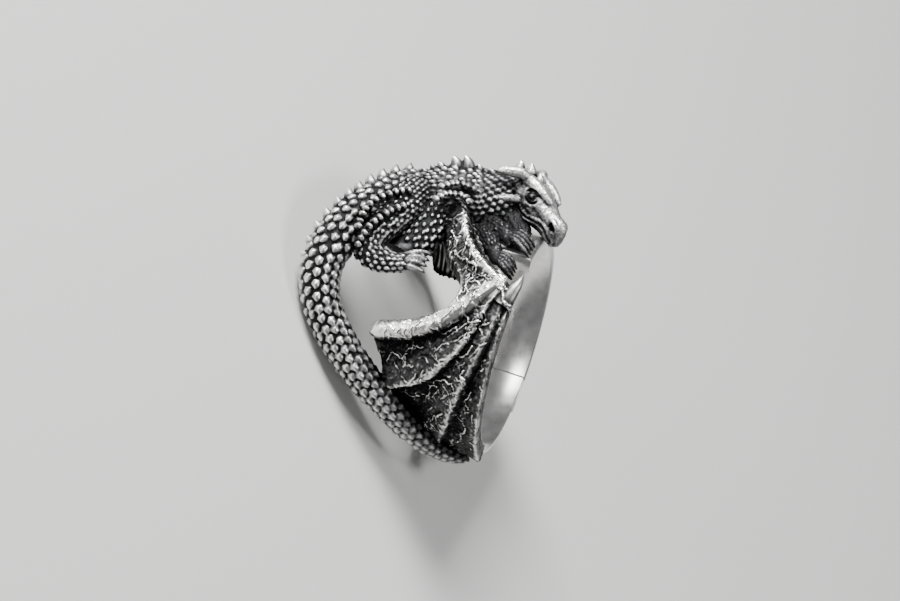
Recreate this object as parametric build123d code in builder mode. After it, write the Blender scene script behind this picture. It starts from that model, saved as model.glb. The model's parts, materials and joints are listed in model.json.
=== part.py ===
from build123d import *

# A cast silver dragon ring, in one solid. It is modelled in the finger's own frame: X runs along the
# finger to the ring's right rim, -Y is the front and +Z is the dragon's back. At the end it is laid on its
# left side, where it comes to rest by itself.
import os
from math import cos, pi, radians, sin

from scipy.spatial import ConvexHull

os.makedirs("parts", exist_ok=True)

# Driving dimensions in millimetres
bore_d = 18.0        # finger hole
reach = 18.9         # right rim to the outside of the tail's loop
body_h = 5.6         # from the finger to the dragon's back
tail_d = 4.2         # tail where it leaves the rump
leg_d = 3.2          # thigh
arm_d = 3.2          # wing's arm below the shoulder
finger_d = 1.6       # wing's leading finger
membrane_t = 1.3     # wing's skin
head_l = 7.4         # back of the skull to the nose
horn_l = 2.6
claw_l = 2.4         # wing's thumb claw
spine_l = 0.9        # tallest spine on the back
band_t = 1.7         # plain band's wall
tongue_t = 0.85      # the band's thin lower end, under the other
band_w = 6.5         # plain band along the finger
band_edge_r = 0.45   # rounding of the band's outer edges
ease_d = 0.4         # how much wider the finger hole is between the band and the rump
ease_l = 5.0         # length of that eased stretch
lap_l = 3.0          # how far the band's two ends overlap
lap_gap = 0.12       # clearance between the two ends
scale_relief = 0.07  # how far the scales stand out, as a share of the limb's radius

bore_r = bore_d / 2

# Where the plain band starts under the front paws, ends at the foot of the wing, and is cut, in degrees
# round the finger from the front over the top
band_start = 50
band_end = 272
band_cut = 213


def around(turn, lift, along):
    """A point at a turn in degrees from the front over the top, a share of the body's height above the
    finger and a share of the reach to the left of the right rim."""
    radius = bore_r + lift * body_h
    return Vector(-along * reach, -radius * cos(radians(turn)), radius * sin(radians(turn)))


def eased(rows, steps):
    """The rows of a table with steps rows to each span, on a smooth curve through all of them."""
    first = [2 * a - b for a, b in zip(rows[0], rows[1])]
    last = [2 * a - b for a, b in zip(rows[-1], rows[-2])]
    padded = [first, *rows, last]
    out = []
    for before, start, end, after in zip(padded, padded[1:], padded[2:], padded[3:]):
        for step in range(steps):
            t = step / steps
            out.append([b + t / 2 * (c - a + t * (2 * a - 5 * b + 4 * c - d + t * (3 * b - a - 3 * c + d)))
                        for a, b, c, d in zip(before, start, end, after)])
    return out + [list(rows[-1])]


def faceted(rings):
    """A closed solid of flat triangles through rings of corners, which all have the same number. The
    triangles meet in fours, so that every second corner can stand up as a scale."""
    facets = []
    for j, (low, high) in enumerate(zip(rings, rings[1:])):
        for k in range(len(low)):
            after = (k + 1) % len(low)
            a, b, c, d = low[k], low[after], high[after], high[k]
            if (j + k) % 2 == 0:
                a, b, c, d = b, c, d, a
            facets.append(Face(Wire.make_polygon((a, b, c))))
            facets.append(Face(Wire.make_polygon((c, d, a))))
    for cap in (rings[0], rings[-1]):
        facets.append(Face(Wire.make_polygon(cap)))
    return Solid(Shell(facets))


def limb(rows, size, sides=8, steps=2, relief=0.0):
    """A limb with flat facets. Each row is a turn, a lift and a place along the finger, as in around, and the
    limb's width and height there as shares of size. Relief raises every second corner as a scale."""
    places = eased(rows, steps)
    centres = [around(*place[:3]) for place in places]
    rings = []
    for j, (turn, _, _, width, height) in enumerate(places):
        ahead = centres[min(j + 1, len(places) - 1)] - centres[max(j - 1, 0)]
        outward = around(turn, 1, 0) - around(turn, 0, 0)
        plane = Plane(centres[j], x_dir=ahead.cross(outward), z_dir=ahead)
        ring = []
        for k in range(sides):
            angle = 2 * pi * k / sides
            grow = size / 2 * (1 + relief * (-1) ** (j + k))
            ring.append(plane.from_local_coords((width * grow * cos(angle), height * grow * sin(angle))))
        rings.append(ring)
    return faceted(rings)


def sheet(rows):
    """A curved skin on the finger hole's wall. Each row is a turn in degrees, the left and right edges as
    shares of the reach, and the thickness as a share of the wing's skin."""
    outlines = []
    for turn, left, right, thick in rows:
        low = bore_r - membrane_t / 2
        high = bore_r + thick * membrane_t
        with BuildSketch(section_plane(turn)) as outline:
            with BuildLine():
                Polyline((-left * reach, low), (-right * reach, low), (-right * reach, high),
                         (-left * reach, high), close=True)
            make_face()
        outlines.append(outline.sketch)
    return loft(outlines, ruled=True, mode=Mode.PRIVATE)


def section_plane(turn):
    """The plane through the finger's axis at a turn: its x runs along the finger and its y outwards."""
    return Plane(origin=(0, 0, 0), x_dir=(1, 0, 0), z_dir=(0, -sin(radians(turn)), -cos(radians(turn))))


def spine(rows, size, place, roll, length):
    """A four-sided spine on a limb. Place counts rows along the limb's table, and roll is in degrees round
    the limb, up to 90 where it is furthest from the finger."""
    row = int(place)
    spot, ahead = (eased(rows[row:row + 2], 8)[int(8 * (place - row)) + n] for n in (0, 1))
    centre = around(*spot[:3])
    plane = Plane(centre, x_dir=(around(*ahead[:3]) - centre).cross(around(spot[0], 1, 0)),
                  z_dir=around(*ahead[:3]) - centre)
    side = plane.x_dir * cos(radians(roll))
    out = -plane.y_dir * sin(radians(roll))
    foot = centre + (side * spot[3] + out * spot[4]) * size / 2
    up = (side + out - plane.z_dir * 0.3).normalized()
    outlines = []
    for height, width in ((-0.4, 1.1), (0.3, 0.62), (1.0, 0.14)):
        with BuildSketch(Plane(foot + up * height * length, z_dir=up)) as outline:
            RegularPolygon(width * length / 2, 4)
        outlines.append(outline.sketch)
    return loft(outlines, ruled=True, mode=Mode.PRIVATE)


# Tables: turn, lift, along, then width and height as shares of the size named beside each
tail_rows = (  # tail_d
    (82, 0.42, 0.62, 1.10, 0.86),
    (63, 0.41, 0.715, 1.00, 0.96),
    (46, 0.41, 0.79, 0.98, 0.96),
    (32, 0.40, 0.862, 0.94, 0.93),
    (16, 0.38, 0.902, 0.86, 0.86),
    (2, 0.36, 0.886, 0.80, 0.80),
    (-12, 0.33, 0.810, 0.74, 0.74),
    (-25, 0.32, 0.693, 0.68, 0.68),
    (-38, 0.31, 0.560, 0.62, 0.62),
    (-51, 0.30, 0.425, 0.57, 0.57),
    (-65, 0.29, 0.300, 0.51, 0.51),
    (-80, 0.28, 0.190, 0.43, 0.43),
    (-93, 0.26, 0.090, 0.28, 0.28),
)
torso_rows = (  # body_h
    (74, 0.22, 0.80, 0.62, 0.60),
    (76, 0.28, 0.72, 1.08, 0.70),
    (78, 0.34, 0.62, 1.22, 0.82),
    (79, 0.47, 0.49, 1.38, 1.08),
    (82, 0.48, 0.38, 1.30, 1.10),
    (84, 0.60, 0.29, 1.00, 0.92),
    (85, 0.72, 0.21, 0.80, 0.80),
    (85, 0.86, 0.15, 0.74, 0.74),
)
flank_rows = (  # body_h
    (68, 0.28, 0.560, 0.90, 0.78),
    (54, 0.22, 0.565, 0.95, 0.64),
    (44, 0.14, 0.575, 0.85, 0.52),
    (33, 0.09, 0.600, 0.60, 0.40),
)
head_rows = (  # head_l
    (86, 0.86, 0.230, 0.50, 0.50),
    (84, 0.90, 0.155, 0.58, 0.55),
    (82, 0.85, 0.085, 0.56, 0.49),
    (79, 0.72, 0.030, 0.45, 0.40),
    (76, 0.58, -0.026, 0.35, 0.32),
    (73, 0.46, -0.068, 0.30, 0.28),
    (72, 0.40, -0.088, 0.18, 0.18),
)
jaw_rows = (  # head_l
    (80, 0.70, 0.160, 0.46, 0.20),
    (76, 0.50, 0.060, 0.36, 0.19),
    (72, 0.31, -0.020, 0.24, 0.16),
    (71, 0.26, -0.062, 0.14, 0.10),
)
brow_tables = (  # head_l
    ((82, 1.08, 0.180, 0.16, 0.12), (78, 1.00, 0.110, 0.15, 0.13), (75, 0.84, 0.040, 0.12, 0.11),
     (74, 0.68, -0.010, 0.06, 0.06)),
    ((89, 1.08, 0.175, 0.16, 0.12), (89, 1.00, 0.100, 0.15, 0.13), (87, 0.84, 0.030, 0.12, 0.11),
     (83, 0.68, -0.020, 0.06, 0.06)),
)
near_leg_rows = (  # leg_d
    (66, 0.48, 0.640, 1.25, 1.10),
    (53, 0.48, 0.675, 1.40, 1.06),
    (42, 0.44, 0.715, 1.34, 0.90),
    (31, 0.38, 0.740, 1.02, 0.74),
    (24, 0.35, 0.715, 0.84, 0.62),
    (22, 0.33, 0.650, 0.66, 0.52),
    (23, 0.31, 0.585, 0.50, 0.42),
    (26, 0.30, 0.520, 0.46, 0.36),
    (31, 0.29, 0.465, 0.34, 0.24),
)
far_leg_rows = (  # leg_d
    (98, 0.46, 0.640, 1.25, 1.05),
    (111, 0.47, 0.680, 1.36, 1.00),
    (123, 0.44, 0.715, 1.26, 0.85),
    (135, 0.38, 0.725, 0.90, 0.70),
    (141, 0.34, 0.670, 0.62, 0.56),
    (140, 0.31, 0.590, 0.48, 0.42),
    (135, 0.29, 0.520, 0.40, 0.30),
)
upper_paw_rows = (  # leg_d
    (76, 0.46, 0.330, 0.80, 0.70),
    (69, 0.44, 0.270, 0.62, 0.56),
    (64, 0.38, 0.190, 0.50, 0.44),
    (59, 0.34, 0.095, 0.56, 0.36),
    (56, 0.31, 0.020, 0.34, 0.22),
)
lower_paw_rows = (  # leg_d
    (66, 0.42, 0.270, 0.70, 0.60),
    (56, 0.38, 0.195, 0.56, 0.50),
    (48, 0.34, 0.135, 0.54, 0.42),
    (42, 0.31, 0.070, 0.34, 0.24),
)
arm_rows = (  # arm_d
    (84, 0.56, 0.500, 1.30, 0.90),
    (66, 0.48, 0.428, 1.24, 0.92),
    (52, 0.42, 0.355, 1.16, 0.84),
    (41, 0.38, 0.295, 1.08, 0.82),
    (32, 0.37, 0.205, 1.04, 0.88),
    (25, 0.37, 0.110, 0.98, 0.90),
    (20, 0.35, 0.050, 0.60, 0.70),
)
thumb_rows = (  # claw_l
    (18, 0.38, 0.030, 0.60, 0.60),
    (24, 0.43, 0.012, 0.44, 0.44),
    (29, 0.46, -0.008, 0.26, 0.26),
    (34, 0.48, -0.014, 0.05, 0.05),
)
finger_tables = (  # finger_d
    (
        (27, 0.38, 0.060, 1.05, 1.10),
        (18, 0.34, 0.140, 1.05, 1.15),
        (10, 0.32, 0.206, 1.00, 1.10),
        (2, 0.31, 0.280, 0.96, 1.05),
        (-4, 0.31, 0.360, 0.94, 1.05),
        (-9, 0.31, 0.450, 0.94, 1.05),
        (-12, 0.31, 0.540, 0.96, 1.05),
        (-14, 0.31, 0.580, 0.80, 0.90),
    ),
    (
        (20, 0.36, 0.034, 0.90, 0.90),
        (6, 0.29, 0.086, 0.76, 0.80),
        (-8, 0.25, 0.136, 0.68, 0.74),
        (-20, 0.24, 0.198, 0.64, 0.70),
        (-30, 0.23, 0.280, 0.60, 0.66),
        (-36, 0.22, 0.380, 0.56, 0.62),
        (-37, 0.21, 0.470, 0.44, 0.50),
    ),
    (
        (16, 0.34, 0.030, 0.80, 0.84),
        (-4, 0.28, 0.048, 0.72, 0.76),
        (-18, 0.25, 0.078, 0.66, 0.70),
        (-34, 0.24, 0.108, 0.62, 0.66),
        (-52, 0.23, 0.145, 0.56, 0.62),
        (-70, 0.22, 0.190, 0.48, 0.54),
    ),
)
membrane_rows = (  # turn, left edge, right edge, thickness
    (62, 0.430, 0.290, 1.10),
    (50, 0.385, 0.240, 1.10),
    (40, 0.350, 0.180, 1.15),
    (31, 0.312, 0.090, 1.20),
    (22, 0.264, 0.000, 1.20),
    (14, 0.248, 0.000, 1.15),
    (8, 0.290, 0.000, 1.10),
    (2, 0.348, 0.000, 1.00),
    (-3, 0.430, 0.000, 0.95),
    (-8, 0.530, 0.000, 0.95),
    (-13, 0.588, 0.000, 0.95),
    (-20, 0.553, 0.000, 0.95),
    (-28, 0.505, 0.000, 0.95),
    (-36, 0.480, 0.000, 0.95),
    (-44, 0.460, 0.000, 1.00),
    (-54, 0.420, 0.000, 1.10),
    (-64, 0.370, 0.000, 1.20),
    (-74, 0.344, 0.000, 1.35),
    (-84, 0.344, 0.000, 1.42),
    (-91, 0.344, 0.000, 1.36),
)
far_wing_rows = (
    (92, 0.560, 0.300, 1.60),
    (104, 0.585, 0.310, 1.50),
    (118, 0.600, 0.320, 1.35),
    (132, 0.598, 0.330, 1.20),
    (144, 0.585, 0.340, 1.05),
    (150, 0.560, 0.344, 0.95),
)
far_finger_tables = (  # finger_d
    (
        (96, 0.48, 0.540, 1.30, 1.20),
        (115, 0.40, 0.580, 1.00, 1.00),
        (135, 0.31, 0.580, 0.80, 0.80),
        (147, 0.24, 0.555, 0.60, 0.60),
    ),
    (
        (98, 0.46, 0.480, 1.10, 1.10),
        (118, 0.36, 0.500, 0.80, 0.80),
        (136, 0.28, 0.505, 0.65, 0.65),
        (149, 0.22, 0.500, 0.50, 0.50),
    ),
    (
        (100, 0.44, 0.420, 1.00, 1.00),
        (120, 0.34, 0.430, 0.75, 0.75),
        (138, 0.26, 0.430, 0.60, 0.60),
        (149, 0.20, 0.420, 0.50, 0.50),
    ),
)
horn_tables = (  # horn_l
    ((81, 0.98, 0.180, 0.42, 0.34), (80, 1.06, 0.250, 0.30, 0.24), (79.5, 1.08, 0.325, 0.05, 0.05)),
    ((76, 0.78, 0.190, 0.40, 0.32), (74.5, 0.75, 0.250, 0.26, 0.22), (73.5, 0.72, 0.310, 0.05, 0.05)),
    ((90, 0.98, 0.175, 0.42, 0.34), (92, 1.06, 0.245, 0.30, 0.24), (93, 1.07, 0.320, 0.05, 0.05)),
    ((93, 0.80, 0.165, 0.42, 0.34), (97, 0.76, 0.240, 0.28, 0.24), (99, 0.72, 0.305, 0.05, 0.05)),
)
tail_spines = (  # place, roll, length as a share of spine_l
    (4.25, 20, 0.50), (3.875, 22, 0.55), (3.5, 25, 0.60), (3.125, 27, 0.62), (2.75, 30, 0.65),
    (2.375, 34, 0.68), (2.0, 38, 0.70), (1.625, 44, 0.72), (1.0, 52, 0.75), (0.5, 62, 0.75),
)
torso_spines = (
    (2.25, 90, 0.65), (2.625, 90, 0.95), (2.875, 90, 1.00), (3.25, 90, 0.60), (3.625, 90, 0.62),
    (4.0, 90, 0.62), (4.375, 90, 0.62), (4.75, 90, 0.60), (5.25, 90, 0.60),
)
head_spines = (
    (0.875, 92, 0.85), (1.5, 92, 0.75), (2.0, 92, 0.50),
)

# The plain band: its upper end is rebated inside, and the thin tongue from the foot of the wing slips under
# it. Both are drawn past the finger hole's wall, which the hole itself then cuts.
round_finger = Axis((0, 0, 0), (-1, 0, 0))
lap_turn = lap_l / bore_r * 180 / pi
gap_turn = lap_gap / bore_r * 180 / pi
with BuildPart() as band:
    with BuildSketch(section_plane(band_start)):
        with Locations((-band_w / 2, bore_r + band_t)):
            Rectangle(band_w, 2 * band_t, align=(Align.CENTER, Align.MAX))
    revolve(axis=round_finger, revolution_arc=band_cut - band_start)
    fillet(band.edges().filter_by(GeomType.CIRCLE).group_by(lambda edge: edge.radius)[-1], band_edge_r)
    with BuildSketch(section_plane(band_cut - lap_turn)):
        with Locations((-band_w / 2, bore_r + tongue_t + lap_gap)):
            Rectangle(2 * band_w, 2 * band_t, align=(Align.CENTER, Align.MAX))
    revolve(axis=round_finger, revolution_arc=2 * lap_turn, mode=Mode.SUBTRACT)

with BuildPart() as tongue:
    with BuildSketch(section_plane(band_cut - lap_turn + gap_turn)):
        with Locations((-band_w / 2, bore_r + tongue_t)):
            Rectangle(band_w, 2 * tongue_t, align=(Align.CENTER, Align.MAX))
    revolve(axis=round_finger, revolution_arc=band_end - band_cut + lap_turn - gap_turn)

# The whole casting: the band with the dragon on it, opened by the finger hole. The hole is a little wider
# under the dragon's body, so that the finger bears on the band and the wing.
with BuildPart() as casting:
    forms = [
        band.part,
        tongue.part,
        limb(tail_rows, tail_d, sides=12, steps=3, relief=scale_relief),
        limb(torso_rows, body_h, sides=14, steps=2, relief=scale_relief),
        limb(flank_rows, body_h),
        limb(head_rows, head_l, sides=10),
        limb(jaw_rows, head_l, sides=6),
        limb(near_leg_rows, leg_d, relief=scale_relief),
        limb(far_leg_rows, leg_d, relief=scale_relief),
        limb(upper_paw_rows, leg_d),
        limb(lower_paw_rows, leg_d),
        limb(arm_rows, arm_d, sides=10),
        limb(thumb_rows, claw_l, sides=6),
        sheet(membrane_rows),
        sheet(far_wing_rows),
    ]
    forms += [limb(rows, finger_d) for rows in finger_tables + far_finger_tables]
    forms += [limb(rows, head_l, sides=6) for rows in brow_tables]
    forms += [limb(rows, horn_l, sides=6) for rows in horn_tables]
    forms += [spine(tail_rows, tail_d, place, roll, share * spine_l) for place, roll, share in tail_spines]
    forms += [spine(torso_rows, body_h, place, roll, share * spine_l) for place, roll, share in torso_spines]
    forms += [spine(head_rows, head_l, place, roll, share * spine_l) for place, roll, share in head_spines]
    add(forms, clean=False)
    with BuildSketch(Plane.YZ.offset(-2 * reach)):
        Circle(bore_r)
    extrude(amount=3 * reach, mode=Mode.SUBTRACT)
    with BuildSketch(Plane.YZ.offset(-band_w)):
        Circle((bore_d + ease_d) / 2)
    extrude(amount=-ease_l, mode=Mode.SUBTRACT)


def resting_plane(part):
    """The plane that the ring stands on when it is laid on its left side: of the flats of its outer hull on
    that side, the one nearest the centre of mass."""
    corners = [tuple(point) for point in part.tessellate(0.02)[0]]
    centre = part.center(CenterOf.MASS)
    flats = []
    for x, y, z, offset in ConvexHull(corners).equations:
        down = Vector(x, y, z)
        if x < -0.5:
            flats.append((-offset - down.dot(centre), down))
    depth, down = min(flats, key=lambda flat: flat[0])
    return Plane(centre + down * depth, x_dir=(0, 0, -1), z_dir=-down)


# Laid on its left side, with the middle of its box over the origin
with BuildPart() as dragon_ring:
    laid = resting_plane(casting.part).to_local_coords(casting.part)
    middle = laid.bounding_box().center()
    add(Pos(-middle.X, -middle.Y, 0) * laid, clean=False)

dragon_ring.part.label = "dragon_ring"
export_step(dragon_ring.part, "parts/dragon_ring.step")
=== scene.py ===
import json
from math import cos, exp, pi, radians, sin

import bmesh
import bpy
import numpy as np
from mathutils import Matrix, Vector, noise
from mathutils.bvhtree import BVHTree
from mathutils.kdtree import KDTree

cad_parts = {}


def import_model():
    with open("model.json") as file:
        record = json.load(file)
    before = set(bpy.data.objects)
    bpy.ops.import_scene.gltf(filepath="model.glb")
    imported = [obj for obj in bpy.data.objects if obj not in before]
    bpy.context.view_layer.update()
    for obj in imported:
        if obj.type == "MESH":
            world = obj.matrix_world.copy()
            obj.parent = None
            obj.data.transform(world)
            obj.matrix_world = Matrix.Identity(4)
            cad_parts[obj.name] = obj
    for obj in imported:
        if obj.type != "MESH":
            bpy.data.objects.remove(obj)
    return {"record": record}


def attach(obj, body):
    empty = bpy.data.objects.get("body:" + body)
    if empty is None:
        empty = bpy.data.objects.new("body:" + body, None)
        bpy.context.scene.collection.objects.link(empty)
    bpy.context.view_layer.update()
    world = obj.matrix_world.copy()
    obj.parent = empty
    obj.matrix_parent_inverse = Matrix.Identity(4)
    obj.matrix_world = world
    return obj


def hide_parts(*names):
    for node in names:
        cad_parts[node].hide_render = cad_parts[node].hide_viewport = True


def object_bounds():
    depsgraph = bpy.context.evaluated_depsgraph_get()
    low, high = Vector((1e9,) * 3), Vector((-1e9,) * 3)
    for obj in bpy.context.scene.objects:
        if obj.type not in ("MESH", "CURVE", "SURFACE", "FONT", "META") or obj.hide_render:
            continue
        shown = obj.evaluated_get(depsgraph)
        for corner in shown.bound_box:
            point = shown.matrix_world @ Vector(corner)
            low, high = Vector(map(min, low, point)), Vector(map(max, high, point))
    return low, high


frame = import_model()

cad_box = [list(corner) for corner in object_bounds()]

# Finger hole. A round hole of US 8, whose wall the finger rubs bright. The dragon is drawn round it in
# millimetres, X along the finger to the right rim, -Y the front and +Z the dragon's back, and each finished
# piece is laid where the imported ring's hole is.
hole = next(mount for mount in frame["record"]["mounts"] if mount["name"] == "finger_hole")
bore_r = hole["dims"]["r_mm"]
band_w = hole["dims"]["length_mm"]
body_h = 5.6
reach = 18.9
mm_per_m = 1000


def laid(centre, x_way, y_way, z_way):
    """A matrix that lays a form at a centre, with its axes along three directions and as long as they are."""
    return Matrix.Translation(centre) @ Matrix((x_way, y_way, z_way)).transposed().to_4x4()


finger_way = Vector(hole["axis"]).normalized()
back_way = Vector((-finger_way.z, 0, finger_way.x)).normalized()
ring_turn = laid((0, 0, 0), finger_way, back_way.cross(finger_way), back_way)
rim_centre = Vector(hole["pos_m"]) + finger_way * band_w / (2 * mm_per_m)
ring_place = Matrix.Translation(rim_centre) @ ring_turn @ Matrix.Scale(1 / mm_per_m, 4)


def around(turn, lift, along):
    """A point at a turn in degrees from the front over the top, a share of the body's height above the
    finger and a share of the reach to the left of the right rim."""
    radius = bore_r + lift * body_h
    return Vector((-along * reach, -radius * cos(radians(turn)), radius * sin(radians(turn))))


def off_axis(points):
    """How far points are from the middle of the finger."""
    return np.hypot(points[:, 1], points[:, 2])


# Tail. Cast silver, round, and covered with staggered rows of keeled scales whose tips lift towards its
# end. It leaves the rump, swings out in the loop to the left front and runs back under the wing. A row of
# short spines follows its outer side.
tail_d = 4.2
tail_rows = (  # turn, lift, along, width, height
    (82, 0.42, 0.62, 1.1, 0.86), (63, 0.41, 0.715, 1.0, 0.96), (46, 0.41, 0.79, 0.98, 0.96),
    (32, 0.4, 0.862, 0.94, 0.93), (16, 0.38, 0.902, 0.86, 0.86), (2, 0.36, 0.886, 0.8, 0.8),
    (-12, 0.33, 0.81, 0.74, 0.74), (-25, 0.32, 0.693, 0.68, 0.68), (-38, 0.31, 0.56, 0.62, 0.62),
    (-51, 0.3, 0.425, 0.57, 0.57), (-65, 0.29, 0.3, 0.51, 0.51), (-80, 0.28, 0.19, 0.43, 0.43),
    (-93, 0.26, 0.09, 0.28, 0.28),
)
tail_spines = (  # place, roll, length
    (4.25, 20, 0.6), (3.875, 22, 0.7), (3.5, 25, 0.75), (3.125, 27, 0.8), (2.75, 30, 0.85),
    (2.375, 34, 0.9), (2.0, 38, 0.95), (1.625, 44, 0.95), (1.25, 49, 0.95), (0.875, 55, 0.9),
    (0.5, 62, 0.85),
)
spine_l = 0.9
spine_rows = (  # height, lean and radius along a spine, in shares of its length
    (-0.4, 0.0, 0.75), (0.15, 0.0, 0.7), (0.6, 0.2, 0.46), (1.0, 0.5, 0.12),
)
spine_root = 0.95  # of the limb's radius
body_share = 0.90  # of a limb's radius that is body, below the scales
scale_w = 0.59  # of the pitch round the limb, and up to uneven_w more
scale_l = 1.95  # of the step between rows, and up to uneven_l more
uneven_w = 0.06
uneven_l = 0.20
stud_w = 0.8  # of a stud's size
casting_grain = 0.085
wall_skin = 0.15  # depth of what counts as the finger hole's wall
rubbed_fade = 2.5  # along the finger, beyond the band
piece_triangles = 195000
box_gap = 0.000001  # in metres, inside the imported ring's box


def eased(rows, steps):
    """The rows of a table with steps rows to each span, on a smooth curve through all of them."""
    first = [2 * a - b for a, b in zip(rows[0], rows[1])]
    last = [2 * a - b for a, b in zip(rows[-1], rows[-2])]
    padded = [first, *rows, last]
    out = []
    for before, start, end, after in zip(padded, padded[1:], padded[2:], padded[3:]):
        for step in range(steps):
            t = step / steps
            out.append([b + t / 2 * (c - a + t * (2 * a - 5 * b + 4 * c - d + t * (3 * b - a - 3 * c + d)))
                        for a, b, c, d in zip(before, start, end, after)])
    return out + [list(rows[-1])]


def ahead_at(centres, j):
    """The direction of a line of points at one of them."""
    return (centres[min(j + 1, len(centres) - 1)] - centres[max(j - 1, 0)]).normalized()


def limb_places(rows, size, steps, share=1.0):
    """The cross-sections of a limb as matrices: half width sideways, half height outwards, and onwards."""
    table = eased(rows, steps)
    centres = [around(*row[:3]) for row in table]
    half = share * size / 2
    places = []
    for j, (turn, _, _, wide, high) in enumerate(table):
        ahead = ahead_at(centres, j)
        side = ahead.cross(Vector((0, -cos(radians(turn)), sin(radians(turn))))).normalized()
        places.append(laid(centres[j], side * half * wide, side.cross(ahead) * half * high, ahead))
    return places


def add_limb(bm, places, sides=18):
    """A closed limb through cross-sections: one ring of points, extruded from each place to the next."""
    ring = bmesh.ops.create_circle(bm, cap_ends=True, segments=sides, radius=1, matrix=places[0])["verts"]
    rim = list({edge for vert in ring for edge in vert.link_edges})
    for before, place in zip(places, places[1:]):
        grown = bmesh.ops.extrude_edge_only(bm, edges=rim)["geom"]
        ring = {item for item in grown if isinstance(item, bmesh.types.BMVert)}
        rim = [item for item in grown if isinstance(item, bmesh.types.BMEdge) and set(item.verts) <= ring]
        bmesh.ops.transform(bm, matrix=place @ before.inverted(), verts=list(ring))
    bmesh.ops.contextual_create(bm, geom=rim)


def mesh_of(bm, name):
    """The mesh of a finished bmesh."""
    mesh = bpy.data.meshes.new(name)
    bm.to_mesh(mesh)
    bm.free()
    return mesh


def scale_form():
    """One scale, about one unit each way: a pebble with a keel, drawn out to a lifted tip along Y."""
    bm = bmesh.new()
    bmesh.ops.create_icosphere(bm, subdivisions=1, radius=0.5)
    for vert in bm.verts:
        x, y, z = vert.co
        tip = max(0.0, 2 * y)
        keel = 0.5 - abs(x)
        vert.co = (x * (1 - 0.5 * tip), y + 0.12 * tip, z * (1 - 0.2 * tip) + 0.22 * tip + 0.12 * keel)
    return mesh_of(bm, "scale_form")


def add_copy(bm, form, place):
    """A copy of a small mesh at a place."""
    copy = form.copy()
    copy.transform(place)
    bm.from_mesh(copy)
    bpy.data.meshes.remove(copy)


def add_scales(bm, rows, size, pitch, step, rise, facing=1, start=0.0, end=1.0):
    """Staggered rows of scales over a limb, outside the finger hole. Facing is -1 where the tips point back
    along the limb, and start and end are shares of its length."""
    places = limb_places(rows, size, 12, body_share)
    form = scale_form()
    travelled = [0.0]
    for before, place in zip(places, places[1:]):
        travelled.append(travelled[-1] + (place.translation - before.translation).length)
    row_count = int(travelled[-1] * (end - start) / step)
    for j in range(row_count + 1):
        distance = travelled[-1] * start + j * step
        place = places[max(n for n, length in enumerate(travelled) if length <= distance + 1e-6)]
        side, outward, ahead = (place.col[n].to_3d() for n in range(3))
        half_w, half_h = side.length, outward.length
        number = max(6, round(pi * (half_w + half_h) / pitch))
        for n in range(number):
            angle = 2 * pi * (n + 0.5 * (j % 2)) / number
            spot = place.translation + side * cos(angle) + outward * sin(angle)
            if spot.yz.length < bore_r - 0.2:
                continue
            normal = (side * cos(angle) / half_w ** 2 + outward * sin(angle) / half_h ** 2).normalized()
            onward = (ahead - normal * ahead.dot(normal)).normalized() * facing
            wide = pitch * (scale_w + uneven_w * noise.random())
            long = step * (scale_l + uneven_l * noise.random())
            add_copy(bm, form, laid(spot, onward.cross(normal) * wide, onward * long, normal * rise * 2))
    bpy.data.meshes.remove(form)


def add_studs(bm, stops, pitch, size, rise):
    """A single row of larger scales through stops of turn, lift and along, a pitch apart, with their tips
    pointing away from the finger."""
    form = scale_form()
    line = [around(*row) for row in eased(stops, 8)]
    travelled = pitch
    for before, spot in zip(line, line[1:]):
        travelled += (spot - before).length
        if travelled < pitch:
            continue
        travelled -= pitch
        normal = Vector((0, spot.y, spot.z)).normalized()
        across = (spot - before).normalized()
        add_copy(bm, form, laid(spot, across * size * stud_w, across.cross(normal) * size, normal * rise * 2))
    bpy.data.meshes.remove(form)


def add_rod(bm, points, radii, steps=5):
    """A tapering round form through points, such as a spine or a horn."""
    table = eased([(*point, radius) for point, radius in zip(points, radii)], steps)
    centres = [Vector(row[:3]) for row in table]
    places = []
    for j, row in enumerate(table):
        ahead = ahead_at(centres, j)
        side = ahead.orthogonal().normalized() if j == 0 else (side - ahead * side.dot(ahead)).normalized()
        radius = max(row[3], 0.02)
        places.append(laid(centres[j], side * radius, ahead.cross(side) * radius, ahead))
    add_limb(bm, places, sides=10)


def add_spike(bm, foot, up, length, back):
    """A short thick spine, broad at the foot and leaning back, with its foot sunk in the body."""
    points = [foot + up * length * height + back * length * lean for height, lean, _ in spine_rows]
    add_rod(bm, points, [length * radius for _, _, radius in spine_rows], steps=3)


def add_spines(bm, rows, size, spines):
    """Spines on a limb, each with a place counted in rows of the limb's table, a roll in degrees, 90 where
    it is furthest from the finger, and a length."""
    steps = 8
    sections = limb_places(rows, size, steps)
    for place, roll, length in spines:
        section = sections[round(steps * place)]
        side, outward, ahead = (section.col[n].to_3d() for n in range(3))
        offset = side * cos(radians(roll)) + outward * sin(radians(roll))
        up = side.normalized() * cos(radians(roll)) + outward.normalized() * sin(radians(roll))
        add_spike(bm, section.translation + offset * spine_root, up, length * spine_l, -ahead)


def added(name, data):
    """A new object in the scene."""
    item = bpy.data.objects.new(name, data)
    bpy.context.collection.objects.link(item)
    return item


def modified(mesh, kind, settings):
    """The mesh after one modifier of a kind with those settings."""
    holder = added("holder", mesh)
    modifier = holder.modifiers.new(kind, kind)
    for setting, value in settings.items():
        setattr(modifier, setting, value)
    graph = bpy.context.evaluated_depsgraph_get()
    result = bpy.data.meshes.new_from_object(holder.evaluated_get(graph), depsgraph=graph)
    bpy.data.objects.remove(holder)
    bpy.data.meshes.remove(mesh)
    return result


def points_of(skin):
    """The skin's points and their normals as arrays."""
    points = np.empty(len(skin.vertices) * 3)
    normals = np.empty(len(skin.vertices) * 3)
    skin.vertices.foreach_get("co", points)
    skin.vertices.foreach_get("normal", normals)
    return points.reshape(-1, 3), normals.reshape(-1, 3)


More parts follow.
